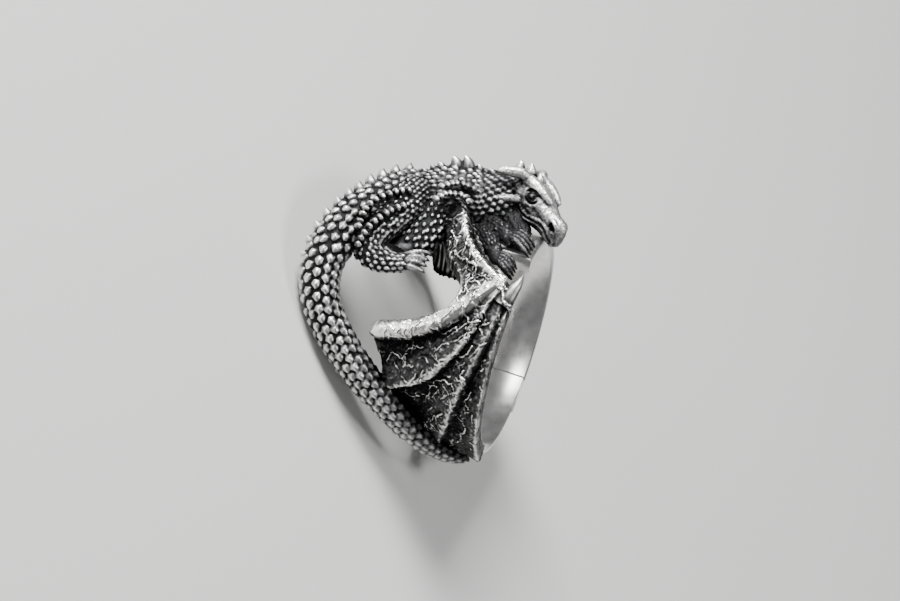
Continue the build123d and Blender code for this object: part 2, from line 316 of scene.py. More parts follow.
def move_points(skin, points):
    """Moves the skin's points to new places."""
    skin.vertices.foreach_set("co", points.ravel())
    skin.update()


def evened(skin, values, rounds):
    """The values on a skin's points after each has gone half the way to the middle of those beside it, so
    many times."""
    edges = np.empty(len(skin.edges) * 2, dtype=np.int64)
    skin.edges.foreach_get("vertices", edges)
    a, b = edges.reshape(-1, 2).T
    number = len(values)
    count = np.bincount(a, minlength=number) + np.bincount(b, minlength=number)
    for _ in range(rounds):
        middle = [(np.bincount(a, column[b], number) + np.bincount(b, column[a], number)) / count
                  for column in values.T]
        values = values + 0.5 * (np.stack(middle, axis=1) - values)
    return values


def smoothed(skin, rounds):
    """Evens out the skin's own points."""
    move_points(skin, evened(skin, points_of(skin)[0], rounds))


def open_hole(skin):
    """Presses what stands inside the finger hole back to its wall."""
    points, _ = points_of(skin)
    grow = np.maximum(bore_r / np.maximum(off_axis(points), 1e-6), 1.0)
    points[:, 1:] *= grow[:, None]
    move_points(skin, points)


def cast(bm, grain, rounds):
    """One closed skin round all the overlapping shells of a bmesh, of facets of a grain in millimetres,
    clear of the finger hole and smoothed so many times."""
    bmesh.ops.recalc_face_normals(bm, faces=bm.faces)
    skin = modified(mesh_of(bm, "shells"), "REMESH", {"mode": "VOXEL", "voxel_size": grain})
    open_hole(skin)
    smoothed(skin, rounds)
    return skin


def record(skin, name, values):
    """Keeps a value from 0 to 1 on each point, for the skin's material."""
    kept = skin.attributes.get(name) or skin.attributes.new(name, "FLOAT", "POINT")
    kept.data.foreach_set("value", np.clip(values, 0, 1))


def weathered(skin, span, level):
    """Records on each point how far it stands out from its surroundings, from 0 in a recess to 1 on a
    worn ridge, with level on a flat, and how polished it is: the finger rubs the hole's wall bright."""
    points, normals = points_of(skin)
    broad = ((points - evened(skin, points, rounds=40)) * normals).sum(1)
    fine = ((points - evened(skin, points, rounds=6)) * normals).sum(1)
    record(skin, "relief", level + (broad + 1.5 * fine) / (2 * span))
    away = off_axis(points)
    facing_finger = -(points[:, 1:] * normals[:, 1:]).sum(1) / np.maximum(away, 1e-6)
    touched = np.clip((points[:, 0] + band_w + rubbed_fade) / rubbed_fade, 0, 1)
    polish = np.clip(facing_finger * 2 - 0.8, 0, 1) * touched
    record(skin, "polish", np.where(away < bore_r + wall_skin, polish, 0))


def new_material(name):
    """A material, its nodes' tree and its shader."""
    material = bpy.data.materials.new(name)
    material.use_nodes = True
    return material, material.node_tree, material.node_tree.nodes["Principled BSDF"]


def wire(node, sockets):
    """Gives a node's inputs values, or links them to other nodes' outputs."""
    for socket, value in sockets.items():
        if isinstance(value, bpy.types.NodeSocket):
            node.id_data.links.new(value, node.inputs[socket])
        else:
            node.inputs[socket].default_value = value


def add_node(tree, kind, output, sockets, **settings):
    """One output of a new node, with what its inputs get and its settings."""
    node = tree.nodes.new("ShaderNode" + kind)
    for setting, value in settings.items():
        setattr(node, setting, value)
    wire(node, sockets)
    return node.outputs[output]


def add_ramp(tree, factor, *stops):
    """A colour that follows a factor through two or more stops, each a place and its colour."""
    colour = add_node(tree, "ValToRGB", "Color", {"Fac": factor})
    elements = colour.node.color_ramp.elements
    for end, (place, shade) in ((0, stops[0]), (1, stops[-1])):
        elements[end].position = place
        elements[end].color = (*shade, 1)
    for place, shade in stops[1:-1]:
        elements.new(place).color = (*shade, 1)
    return colour


def oxidised_silver_with_painted_shade(name, dark, middle, bright, worn_from, worn_to, patchy):
    """Cast silver: black oxide in the recesses, grey patina between and bright worn metal on the ridges,
    where the relief passes worn_from and worn_to, more or less patchy, and painted shade where the points
    record it. The finger hole's wall is rubbed bright."""
    material, tree, shader = new_material(name)
    spot = add_node(tree, "TexCoord", "Object", {})
    relief, painted_shade, polish = (add_node(tree, "Attribute", "Fac", {}, attribute_name=kept)
                              for kept in ("relief", "painted_shade", "polish"))
    mottle = add_node(tree, "TexNoise", "Fac",
                      {"Vector": spot, "Scale": 2600, "Detail": 6, "Roughness": 0.65})
    uneven = add_node(tree, "Math", "Value", {0: mottle, 1: patchy, 2: -patchy / 2}, operation="MULTIPLY_ADD")
    rubbed = add_node(tree, "Math", "Value", {0: relief, 1: uneven}, operation="ADD")
    # Painted shade: the recorded share of blocked rays darkens the tone and dulls the gloss.
    wear_and_shade = add_node(tree, "Math", "Value", {0: painted_shade, 1: -0.85, 2: rubbed}, operation="MULTIPLY_ADD")
    tone = add_ramp(tree, wear_and_shade, (0.18, (dark, dark, dark * 1.04)),
                    (worn_from, (middle, middle, middle * 1.02)),
                    (worn_to, (bright, bright * 0.985, bright * 0.96)))
    shine = add_node(tree, "Mix", "Result", {"Factor": polish, "A": tone, "B": (0.86, 0.85, 0.83, 1)},
                     data_type="RGBA")
    gloss = add_node(tree, "MapRange", "Result",
                     {"Value": wear_and_shade, "From Min": 0.2, "From Max": 0.9, "To Min": 0.62, "To Max": 0.27})
    buffed = add_node(tree, "Mix", "Result", {"Factor": polish, "A": gloss, "B": 0.2})
    pits = add_node(tree, "TexNoise", "Fac", {"Vector": spot, "Scale": 9000, "Detail": 4})
    bump = add_node(tree, "Bump", "Normal", {"Strength": 0.35, "Distance": 0.00004, "Height": pits})
    wire(shader, {"Metallic": 1.0, "Base Color": shine, "Roughness": buffed, "Normal": bump})
    return material


def thinned(skin):
    """The skin with no more triangles than a piece may have: its flats lose theirs first."""
    skin.calc_loop_triangles()
    share = piece_triangles / len(skin.loop_triangles)
    return skin if share >= 1 else modified(skin, "DECIMATE", {"ratio": share})


def placed(skin, name, material):
    """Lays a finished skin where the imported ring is, thinned and within its box, and stands it for the
    ring's plain solid."""
    skin = thinned(skin)
    skin.transform(ring_place)
    points, _ = points_of(skin)
    move_points(skin, np.clip(points, np.array(cad_box[0]) + box_gap, np.array(cad_box[1]) - box_gap))
    skin.shade_smooth()
    skin.materials.clear()
    skin.materials.append(material)
    piece = added(name, skin)
    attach(piece, "root")
    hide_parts("dragon_ring")


noise.seed_set(7)
scaled_silver = oxidised_silver_with_painted_shade("oxidised silver scales", dark=0.022, middle=0.17, bright=0.92,
                                worn_from=0.47, worn_to=0.85, patchy=0.30)
bm = bmesh.new()
add_limb(bm, limb_places(tail_rows, tail_d, 6, body_share))
add_scales(bm, tail_rows, tail_d, pitch=1.60, step=0.46, rise=0.40)
add_spines(bm, tail_rows, tail_d, tail_spines)
skin = cast(bm, casting_grain, rounds=1)
weathered(skin, span=0.2, level=0.5)
placed(skin, "tail", scaled_silver)

# Body and neck. Cast in one with the tail: a heavy rump and chest that narrow to the neck, hollowed by the
# finger hole below, with scales smaller than the tail's whose tips point back. A row of spines follows the
# back, and two tall ones stand on the withers.
torso_rows = (
    (74, 0.22, 0.8, 0.62, 0.6), (76, 0.28, 0.72, 1.08, 0.7), (78, 0.34, 0.62, 1.22, 0.82),
    (79, 0.47, 0.49, 1.38, 1.08), (82, 0.48, 0.38, 1.3, 1.1), (84, 0.61, 0.29, 0.98, 0.9),
    (85, 0.74, 0.225, 0.72, 0.74), (85, 0.85, 0.175, 0.56, 0.6),
)
flank_rows = (
    (68, 0.28, 0.56, 0.9, 0.78), (54, 0.22, 0.565, 0.95, 0.64), (44, 0.14, 0.575, 0.85, 0.52),
    (33, 0.09, 0.6, 0.6, 0.4),
)
shoulder_studs = (
    ((53, 0.76, 0.515), (58, 0.8, 0.48), (60, 0.8, 0.435), (61, 0.79, 0.395), (58, 0.76, 0.35)),
    ((60, 0.84, 0.52), (64, 0.88, 0.47), (66, 0.88, 0.42), (66, 0.86, 0.37)),
)
torso_spines = (
    (1.25, 82, 0.62), (1.625, 84, 0.62), (2.0, 86, 0.66), (2.375, 90, 0.66), (2.625, 90, 0.7),
    (3.0, 90, 1.0), (3.25, 90, 1.1), (3.75, 90, 0.6), (4.25, 90, 0.66), (4.625, 90, 0.66),
    (5.0, 90, 0.7), (5.5, 90, 0.66), (6.0, 90, 0.62),
)
torso_share = body_share + 0.02
bm = bmesh.new()
add_limb(bm, limb_places(torso_rows, body_h, 6, torso_share), sides=28)
add_limb(bm, limb_places(flank_rows, body_h, 5, torso_share), sides=24)
add_scales(bm, torso_rows, body_h, pitch=1.06, step=0.35, rise=0.32, facing=-1)
add_scales(bm, flank_rows, body_h, pitch=0.90, step=0.30, rise=0.32, end=0.9)
for stops in shoulder_studs:
    add_studs(bm, stops, pitch=0.55, size=0.85, rise=0.34)
add_spines(bm, torso_rows, body_h, torso_spines)
skin = cast(bm, 0.078, rounds=1)
weathered(skin, span=0.16, level=0.46)
placed(skin, "body", scaled_silver)

# Hind legs. Each is cast against the flank: a heavy thigh bent at the knee, a shin turned back under it and
# a foot of four clawed toes. The near thigh has two rows of larger scales.
leg_d = 3.2
near_leg_rows = (
    (66, 0.48, 0.64, 1.25, 1.1), (53, 0.48, 0.675, 1.4, 1.06), (42, 0.44, 0.715, 1.34, 0.9),
    (31, 0.38, 0.74, 1.02, 0.74), (24, 0.35, 0.715, 0.84, 0.62), (22, 0.33, 0.65, 0.66, 0.52),
    (23, 0.31, 0.585, 0.5, 0.42), (26, 0.3, 0.52, 0.46, 0.36), (31, 0.29, 0.465, 0.34, 0.24),
)
far_leg_rows = (
    (98, 0.46, 0.64, 1.25, 1.05), (111, 0.47, 0.68, 1.36, 1.0), (123, 0.44, 0.715, 1.26, 0.85),
    (135, 0.38, 0.725, 0.9, 0.7), (141, 0.34, 0.67, 0.62, 0.56), (140, 0.31, 0.59, 0.48, 0.42),
    (135, 0.29, 0.52, 0.4, 0.3),
)
near_toe_rows = (  # the first toe's turn, the turn from one toe to the next, lift and along
    (23, 1.5, 0.31, 0.57), (23, 2.6, 0.34, 0.515), (23.5, 3.3, 0.3, 0.465), (24, 3.4, 0.22, 0.438),
)
far_toe_rows = (
    (140, -1.5, 0.31, 0.57), (139, -2.6, 0.34, 0.52), (138, -3.2, 0.3, 0.475), (137.5, -3.2, 0.22, 0.45),
)
haunch_studs = (
    ((28, 0.7, 0.79), (36, 0.76, 0.79), (41, 0.8, 0.765), (46, 0.82, 0.72), (50, 0.82, 0.675),
     (53, 0.8, 0.63)),
    ((22, 0.58, 0.765), (27, 0.66, 0.755), (32, 0.7, 0.735), (38, 0.72, 0.698), (43, 0.73, 0.655),
     (47, 0.72, 0.615)),
)
toe_count = 4
hind_toe_d = 0.56


def beyond_wall(points, start, fade):
    """0 at the finger hole's wall and up to start above it, rising to 1 over a fade, in millimetres."""
    return np.clip((off_axis(points) - bore_r - start) / fade, 0, 1)


def crumpled(skin, sizes, calm=0.0):
    """Moves a skin in and out by noises of a grain and a depth in millimetres, except in the finger hole
    and less where it is calm."""
    points, normals = points_of(skin)
    clear = beyond_wall(points, wall_skin, 0.3) * (1 - calm)
    rise = np.zeros(len(points))
    for grain, depth in sizes:
        rise += depth * np.array([noise.noise(Vector(point) / grain) for point in points])
    move_points(skin, points + normals * (rise * clear)[:, None])


def add_toe(bm, points, girth):
    """One toe with its claw: a thin limb through points of turn, lift and along."""
    rows = [(*point, share, share) for point, share in zip(points, (1.0, 1.1, 0.85, 0.30))]
    add_limb(bm, limb_places(rows, girth, 4), sides=10)


for name, rows, toe_rows, studs in (("near_hind_leg", near_leg_rows, near_toe_rows, haunch_studs),
                                    ("far_hind_leg", far_leg_rows, far_toe_rows, ())):
    bm = bmesh.new()
    add_limb(bm, limb_places(rows, leg_d, 5, body_share))
    for n in range(toe_count):
        add_toe(bm, [(turn + n * apart, lift, along) for turn, apart, lift, along in toe_rows], hind_toe_d)
    add_scales(bm, rows, leg_d, pitch=0.78, step=0.27, rise=0.26, start=0.02, end=0.86)
    for stops in studs:
        add_studs(bm, stops, pitch=0.66, size=0.84, rise=0.42)
    skin = cast(bm, casting_grain, rounds=1)
    crumpled(skin, ((0.4, 0.03), (0.18, 0.03)))
    # Painted shade: the low level paints both hind legs darker than the body.
    weathered(skin, span=0.15, level=0.35)
    placed(skin, name, scaled_silver)

# Front legs. Two forelegs come out of the shadow under the neck, one on each side of the throat's fold, and
# rest their clawed toes on the top of the plain band.
throat_rows = (
    (84, 0.45, 0.27, 0.6, 0.6), (80, 0.34, 0.18, 0.5, 0.5), (72, 0.2, 0.11, 0.36, 0.36),
    (64, 0.1, 0.08, 0.24, 0.24),
)
upper_paw_rows = (
    (78, 0.24, 0.33, 0.8, 0.7), (70, 0.3, 0.27, 0.66, 0.58), (63, 0.36, 0.2, 0.54, 0.5),
    (58, 0.37, 0.14, 0.58, 0.44), (55, 0.34, 0.1, 0.5, 0.36),
)
lower_paw_rows = (
    (64, 0.22, 0.28, 0.66, 0.58), (54, 0.28, 0.225, 0.56, 0.52), (46, 0.32, 0.17, 0.52, 0.46),
    (41, 0.32, 0.135, 0.48, 0.38),
)
paws = (  # turn, lift and along, the spread of the toes in degrees, and their length along
    (60, 0.42, 0.16, 3.3, 0.15), (43, 0.37, 0.16, 2.5, 0.12),
)
paw_toe_rows = (  # turn and lift from the paw's, and shares of the spread and the length
    (0, -0.04, 0.5, 0.0), (-2, 0.02, 0.8, 0.4), (-4, -0.02, 1.0, 0.75), (-5, -0.13, 1.0, 1.0),
)
paw_toe_d = 0.62
bm = bmesh.new()
for rows in (upper_paw_rows, lower_paw_rows):
    add_limb(bm, limb_places(rows, leg_d, 5, body_share))
    add_scales(bm, rows, leg_d, pitch=0.62, step=0.28, rise=0.13, end=0.72)
add_limb(bm, limb_places(throat_rows, body_h, 5), sides=20)
add_scales(bm, throat_rows, body_h, pitch=0.80, step=0.30, rise=0.22, facing=-1, end=0.9)
for turn, lift, along, spread, length in paws:
    for n in range(toe_count):
        side = n - (toe_count - 1) / 2
        add_toe(bm, [(turn + down + side * spread * wide, lift + up, along - length * onward)
                     for down, up, wide, onward in paw_toe_rows], paw_toe_d)
skin = cast(bm, 0.06, rounds=2)
crumpled(skin, ((0.5, 0.05), (0.2, 0.04)))
# Painted shade: the low level paints the forelegs and the throat darker all over, as under the neck.
weathered(skin, span=0.15, level=0.20)
placed(skin, "front_legs", scaled_silver)

# Head. Cast in one with the neck and filed smoother than the body: a long skull with bony brow plates, two
# pairs of swept horns, an eye sunk under each brow, open nostrils and a beaked muzzle over a thin lower jaw.
# It is drawn in the skull's own directions: forward, up, and sideways to the near side.
skull_centre = Vector((-2.93, -1.467, 13.963))
forward = Vector((0.835, -0.349, -0.429)).normalized()
crown_way = Vector((0.334, -0.302, 0.893))
crown_way = (crown_way - forward * crown_way.dot(forward)).normalized()
near_way = forward.cross(crown_way)
skull_rows = (  # forward, up, half width, half height
    (-3.2, -2.3, 1.05, 0.95), (-2.2, -1.5, 1.45, 1.36), (-1.2, -0.75, 1.68, 1.62),
    (-0.3, -0.22, 1.74, 1.62), (0.8, 0.04, 1.6, 1.56), (1.9, -0.02, 1.44, 1.36), (2.9, -0.18, 1.24, 1.1),
    (3.9, -0.42, 1.02, 0.94), (4.8, -0.6, 0.84, 1.0), (5.35, -0.85, 0.62, 0.92), (5.65, -1.2, 0.42, 0.66),
    (5.76, -1.55, 0.18, 0.28),
)
jaw_rows = (
    (-0.6, -1.35, 1.38, 0.66), (1.0, -1.54, 1.48, 0.54), (2.4, -1.52, 1.34, 0.48), (3.6, -1.5, 1.1, 0.44),
    (4.6, -1.76, 0.84, 0.34), (5.3, -2.0, 0.5, 0.2),
)
head_rods = {  # points forward, up and to the near side with the radius there, one rod of each on both sides
    "brow": (
        (-0.7, 0.86, 0.92, 0.62), (0.0, 1.12, 0.95, 0.68), (0.95, 1.24, 0.92, 0.6),
        (1.9, 1.18, 0.82, 0.48), (2.6, 1.05, 0.7, 0.36), (3.05, 0.88, 0.62, 0.22)),
    "upper horn": (
        (-0.3, 1.3, 1.2, 0.52), (-0.65, 1.42, 1.85, 0.54), (-1.3, 1.08, 2.6, 0.47),
        (-1.85, 0.7, 3.1, 0.32), (-2.35, 0.34, 3.45, 0.05)),
    "lower horn": (
        (0.4, -0.72, 1.35, 0.5), (-0.02, -0.98, 2.15, 0.46), (-0.55, -1.42, 2.95, 0.38),
        (-0.97, -1.8, 3.4, 0.25), (-1.35, -2.12, 3.7, 0.05)),
    "cheek": (
        (-0.6, -0.4, 0.85, 0.9), (0.8, -0.44, 0.76, 0.86), (1.9, -0.52, 0.65, 0.82),
        (3.0, -0.6, 0.44, 0.7), (4.2, -0.78, 0.24, 0.54)),
    "lower cheek": (
        (0.3, -0.8, 0.92, 0.62), (1.1, -0.88, 0.94, 0.62), (1.99, -0.94, 0.86, 0.58),
        (2.84, -0.82, 0.7, 0.5), (4.1, -0.8, 0.45, 0.42)),
    "upper lip": (
        (0.72, -0.72, 1.4, 0.22), (1.1, -1.05, 1.42, 0.2), (1.99, -1.18, 1.32, 0.19),
        (2.84, -0.97, 1.15, 0.2), (3.41, -0.84, 1.02, 0.21), (4.17, -0.9, 0.88, 0.22),
        (4.8, -1.3, 0.67, 0.23), (5.36, -1.66, 0.36, 0.2)),
    "lower lip": (
        (0.8, -1.42, 1.3, 0.22), (1.99, -1.6, 1.27, 0.22), (2.84, -1.41, 1.12, 0.22),
        (3.41, -1.29, 1.0, 0.22), (4.17, -1.35, 0.86, 0.22), (4.8, -1.74, 0.64, 0.2),
        (5.36, -2.04, 0.34, 0.16)),
    "nostril": (
        (3.8, -0.1, 0.6, 0.26), (4.35, -0.1, 0.72, 0.32), (4.85, -0.28, 0.7, 0.32),
        (5.05, -0.68, 0.62, 0.27)),
}
crown_spikes = ((-2.2, 0.80, 0.80), (-1.0, 1.15, 0.95), (0.3, 1.20, 0.85), (1.1, 1.15, 0.50))
far_horn_spread = 0.75
eye_r = 0.58
lid_rings = ((0.70, 0.22), (0.90, -0.05), (0.30, 0.06))  # radius round the eye and depth: slit, lid and pupil
crown_line = ((0.2, 1.5, 0), (1.6, 1.25, 0), (3.0, 0.85, 0))


def in_head(ahead, up, near):
    """A point in the head, in millimetres forward, up and to the near side of the middle of the skull."""
    return skull_centre + forward * ahead + crown_way * up + near_way * near


def head_places(rows):
    """The cross-sections of a form in the middle of the head, as matrices."""
    return [laid(in_head(ahead, up, 0), near_way * wide, crown_way * high, forward)
            for ahead, up, wide, high in eased(rows, 5)]


def pressed(skin, line, width, depth):
    """Presses a line into a skin, or raises it where depth is negative."""
    points, normals = points_of(skin)
    stops = np.array(eased(line, 6))
    away = np.full(len(points), 1e9)
    for a, b in zip(stops, stops[1:]):
        t = np.clip(((points - a) @ (b - a)) / ((b - a) @ (b - a)), 0, 1)
        away = np.minimum(away, np.linalg.norm(points - (a + t[:, None] * (b - a)), axis=1))
    move_points(skin, points - normals * (depth * np.exp(-(away / width) ** 2))[:, None])


def reworn_and_shaded(skin, change):
    """Adds a change to the relief that is recorded on each point: wear on the wing's ridges, painted shade on
    the head.
    """
    relief = np.empty(len(skin.vertices))
    skin.attributes["relief"].data.foreach_get("value", relief)
    record(skin, "relief", relief + change)


bm = bmesh.new()
add_limb(bm, head_places(skull_rows), sides=24)
add_limb(bm, head_places(jaw_rows), sides=16)
for near, horn_spread in ((1, 1.0), (-1, far_horn_spread)):
    for name, rod in head_rods.items():
        spread = near * (horn_spread if "horn" in name else 1.0)
        add_rod(bm, [in_head(ahead, up, out * spread) for ahead, up, out, _ in rod], [row[3] for row in rod])
    bmesh.ops.create_uvsphere(bm, u_segments=16, v_segments=12, radius=eye_r,
                              matrix=Matrix.Translation(in_head(1.30, 0.38, 1.00 * near)))
for ahead, up, length in crown_spikes:
    add_spike(bm, in_head(ahead, up, 0), crown_way, length, -forward)
skin = cast(bm, 0.05, rounds=7)
for near in (1, -1):
    mouth = [in_head(ahead, up - 0.30, out * near) for ahead, up, out, _ in head_rods["upper lip"][:-1]]
    pressed(skin, mouth, width=0.08, depth=0.22)
    nostril = [in_head(4.50, -0.42, 1.00 * near), in_head(4.80, -0.62, 0.90 * near)]
    pressed(skin, nostril, width=0.20, depth=0.60)
    for ring_r, depth in lid_rings:
        ring = [in_head(1.40 + ring_r * cos(t), 0.42 + ring_r * 0.85 * sin(t), 1.42 * near)
                for t in np.linspace(0, 2 * pi, 13)]
        pressed(skin, ring, width=0.10, depth=depth)
pressed(skin, [in_head(*spot) for spot in crown_line], width=0.22, depth=0.08)
crumpled(skin, ((0.45, 0.035), (0.16, 0.030)))
smoothed(skin, 1)
weathered(skin, span=0.20, level=0.60)
# Painted shade: the head is darkened below the crown between the cheeks, and round each eye under its brow.
points, _ = points_of(skin)
below_crown = 0.75 - (points - in_head(0, -0.1, 0)) @ np.array(crown_way + 0.13 * forward)
within_cheeks = 1.8 - np.abs((points - in_head(0, 0, 0)) @ np.array(near_way))
change = -0.11 * np.clip(below_crown / 0.5, 0, 1) * np.clip(within_cheeks / 0.2, 0, 1)
for near in (1, -1):
    from_eye = np.linalg.norm(points - in_head(1.42, 0.44, 1.45 * near), axis=1)
    change -= 0.34 * np.exp(-(from_eye / 0.62) ** 4)
reworn_and_shaded(skin, change)
worn_silver = oxidised_silver_with_painted_shade("worn silver of the head", dark=0.014, middle=0.24, bright=0.95,
                              worn_from=0.42, worn_to=0.74, patchy=0.44)
placed(skin, "head", worn_silver)

# Near wing. A fan of skin on a heavy arm, cast as the ring's front wall: the arm comes down from the shoulder
# to the wrist at the right rim, where the thumb's claw stands up and three long fingers spread to the left
# and down. Each finger is the crest of a fold that drops behind it, and veins branch over the skin.
finger_d = 1.6
claw_l = 2.4
wing_outline = (  # turn, left edge, right edge, height of the skin in millimetres
    (88, 0.555, 0.4, 3.3), (78, 0.52, 0.385, 2.9), (66, 0.48, 0.35, 2.4), (53, 0.44, 0.286, 2.0),
    (45, 0.405, 0.227, 1.8), (38, 0.375, 0.18, 1.7), (32, 0.318, 0.09, 1.65), (26, 0.272, 0.01, 1.6),
    (20, 0.246, 0.0, 1.5), (14, 0.25, 0.0, 1.4), (8, 0.29, 0.0, 1.3), (1, 0.372, 0.0, 1.2),
    (-4, 0.45, 0.0, 1.0), (-9, 0.56, 0.0, 0.85), (-13, 0.592, 0.0, 0.8), (-20, 0.553, 0.0, 0.75),
    (-28, 0.512, 0.0, 0.75), (-36, 0.482, 0.0, 0.8), (-44, 0.46, 0.0, 0.85), (-54, 0.42, 0.0, 0.9),
    (-64, 0.37, 0.0, 1.0), (-74, 0.344, 0.0, 1.25), (-84, 0.344, 0.0, 1.4), (-91, 0.344, 0.0, 1.45),
)
arm_crest = (  # turn, along and height of the crest in millimetres
    (84, 0.47, 4.1), (72, 0.43, 3.9), (64, 0.408, 3.6), (55, 0.366, 3.35), (46, 0.315, 3.2),
    (39, 0.255, 3.15), (34, 0.192, 3.2), (30, 0.12, 3.2), (26, 0.05, 3.1),
)
leading_crest = (
    (29, 0.054, 3.1), (23, 0.1, 2.95), (15, 0.166, 2.75), (9, 0.222, 2.65), (4, 0.265, 2.6),
    (-1, 0.32, 2.55), (-6.5, 0.421, 2.55), (-10, 0.52, 2.55), (-11.5, 0.58, 2.5),
)
second_crest = (
    (24, 0.061, 2.8), (10, 0.109, 2.35), (-3, 0.14, 2.2), (-10, 0.175, 2.15), (-17, 0.216, 2.1),
    (-24, 0.262, 2.05), (-30, 0.33, 2.0), (-35, 0.41, 1.95), (-38, 0.48, 1.9),
)
third_crest = (
    (23, 0.03, 2.7), (4, 0.044, 2.3), (-10, 0.072, 2.2), (-20, 0.096, 2.15), (-31, 0.117, 2.1),
    (-40, 0.136, 2.05), (-50, 0.152, 1.95), (-64, 0.182, 1.85), (-76, 0.205, 1.6),
)
rim_crest = (
    (20, 0.004, 2.2), (-14, 0.004, 1.6), (-42, 0.004, 1.5), (-70, 0.004, 1.5), (-91, 0.004, 1.7),
)
wing_folds = (  # crest, slopes in front and behind, width of its worn ridge and how much more that is worn
    (arm_crest, 0.85, 1.9, 0.45, 0.18),
    (leading_crest, 0.22, 3.2, 0.62, 0.52),
    (second_crest, 0.36, 3.0, 0.30, 0.12),
    (third_crest, 0.42, 2.6, 0.22, 0.06),
    (rim_crest, 0.30, 3.0, 0.22, 0.0),
)
leading_rows = (
    (27, 0.34, 0.06, 1.0, 1.05), (19, 0.32, 0.14, 1.0, 1.1), (11, 0.31, 0.205, 1.02, 1.1),
    (4, 0.3, 0.275, 1.05, 1.1), (-2, 0.3, 0.355, 1.08, 1.12), (-6.5, 0.3, 0.445, 1.1, 1.14),
    (-9.5, 0.3, 0.54, 1.12, 1.14), (-11, 0.3, 0.575, 0.9, 1.0),
)
thumb_rows = (
    (18, 0.38, 0.03, 0.74, 0.66), (24, 0.43, 0.012, 0.58, 0.52), (29, 0.46, -0.006, 0.38, 0.36),
    (34.5, 0.48, -0.016, 0.06, 0.06),
)
wing_veins = (  # turn and along of the foot, heading in degrees in the unrolled wing, length in millimetres
    (70, 0.49, -115, 4.2), (66, 0.43, -110, 5.5), (58, 0.37, -130, 4.5), (52, 0.44, -110, 3.5),
    (47, 0.39, -125, 4.0), (44, 0.3, -140, 3.6), (37, 0.35, -110, 3.6), (34, 0.27, -120, 3.4),
    (30, 0.2, -75, 3.0), (27, 0.12, -30, 2.6), (25, 0.08, -150, 2.4), (20, 0.16, -20, 2.6),
    (12, 0.1, -40, 3.0), (8, 0.06, -70, 3.0), (2, 0.2, -20, 3.2), (-4, 0.1, -60, 2.6),
    (-12, 0.33, -12, 3.4), (-16, 0.11, -100, 3.0), (-18, 0.4, -25, 2.4), (-24, 0.15, -60, 3.6),
    (-27, 0.06, -85, 3.4), (-30, 0.22, -30, 3.4), (-40, 0.3, -15, 3.2), (-42, 0.17, -60, 3.6),
    (-50, 0.06, -80, 3.4), (-56, 0.25, -70, 3.4), (-66, 0.12, -60, 3.0),
)
wrinkle_count = 230
skin_r = bore_r + 1.5
crest_r = 0.22
vein_step = 0.05


def flattened(turns, along):
    """Places on the wing as they lie when it is unrolled, in millimetres: to the left and up."""
    return np.stack([along * reach, np.radians(turns) * skin_r], axis=-1)


def unrolled(points):
    """The turns of points, and their places when the wing is unrolled."""
    turns = np.degrees(np.arctan2(points[:, 2], -points[:, 1]))
    return turns, flattened(turns, -points[:, 0] / reach)


def beside(crest, spots):
    """How far spots lie from a crest, above 0 on its left, and the crest's height beside each of them."""
    table = np.array(eased(crest, 4))
    line = flattened(table[:, 0], table[:, 1])
    away = np.full(len(spots), 1e9)
    heights = np.zeros(len(spots))
    for a, b, low, high in zip(line, line[1:], table[:, 2], table[1:, 2]):
        way = b - a
        t = np.clip((spots - a) @ way / (way @ way), 0, 1)
        gap = spots - (a + t[:, None] * way)
        length = np.hypot(*gap.T)
        side = np.where(way[0] * gap[:, 1] - way[1] * gap[:, 0] < 0, -1, 1)
        nearer = length < np.abs(away)
        away = np.where(nearer, side * length, away)
        heights = np.where(nearer, low + (high - low) * t, heights)
    return away, heights


def add_web(bm, outline, heights_of, across, down):
    """A closed block of wing skin: a grid on the finger hole's wall, extruded outwards to the heights in
    millimetres that heights_of gives for turns, places along and the outline's own heights."""
    table = np.array(eased(outline, 6))
    web = bmesh.new()
    bmesh.ops.create_grid(web, x_segments=across, y_segments=down, size=0.5)
    grid = np.array([vert.co for vert in web.verts]) + 0.5
    rows = np.linspace(0, 1, len(table))
    turns, left, right, low = (np.interp(grid[:, 1], rows, column) for column in table.T)
    along = left + (right - left) * grid[:, 0]
    places = {}
    for vert, turn, place, height in zip(web.verts, turns, along, heights_of(turns, along, low)):
        vert.co = around(turn, -0.1, place)
        places[tuple(vert.co)] = (turn, height / body_h, place)
    for item in bmesh.ops.extrude_face_region(web, geom=web.faces[:])["geom"]:
        if isinstance(item, bmesh.types.BMVert):
            item.co = around(*places[tuple(item.co)])
    block = mesh_of(web, "web")
    bm.from_mesh(block)
    bpy.data.meshes.remove(block)


def folded(turns, along, low):
    """The heights of the near wing's folds: each rises slowly to its crest and drops behind it."""
    spots = flattened(turns, along)
    heights = low
    for crest, front_slope, back_slope, _, _ in wing_folds:
        away, top = beside(crest, spots)
        drop = (np.hypot(away, crest_r) - crest_r) * np.where(away > 0, front_slope, back_slope)
        heights = np.maximum(heights, top - drop)
    return heights


def crooked(start, heading, length, branch, strength=1.0):
    """The points of a vein that wanders over the unrolled wing, and of its branches: each with its
    strength, which fades to the end."""
    spot = np.array(start, dtype=float)
    turn = heading
    points = []
    branches = []
    for k in range(int(length / vein_step)):
        turn += 0.16 * (heading - turn) + rng.normal(0, 0.36)
        if rng.random() < branch * vein_step:
            branches.append((spot.copy(), heading + rng.choice((-1, 1)) * rng.uniform(0.6, 1.2)))
        spot = spot + vein_step * np.array((cos(turn), sin(turn)))
        points.append((*spot, strength * (1 - 0.6 * k * vein_step / length)))
    for foot, way in branches:
        points += crooked(foot, way, length * rng.uniform(0.25, 0.45), branch * 0.5, strength * 0.8)
    return points


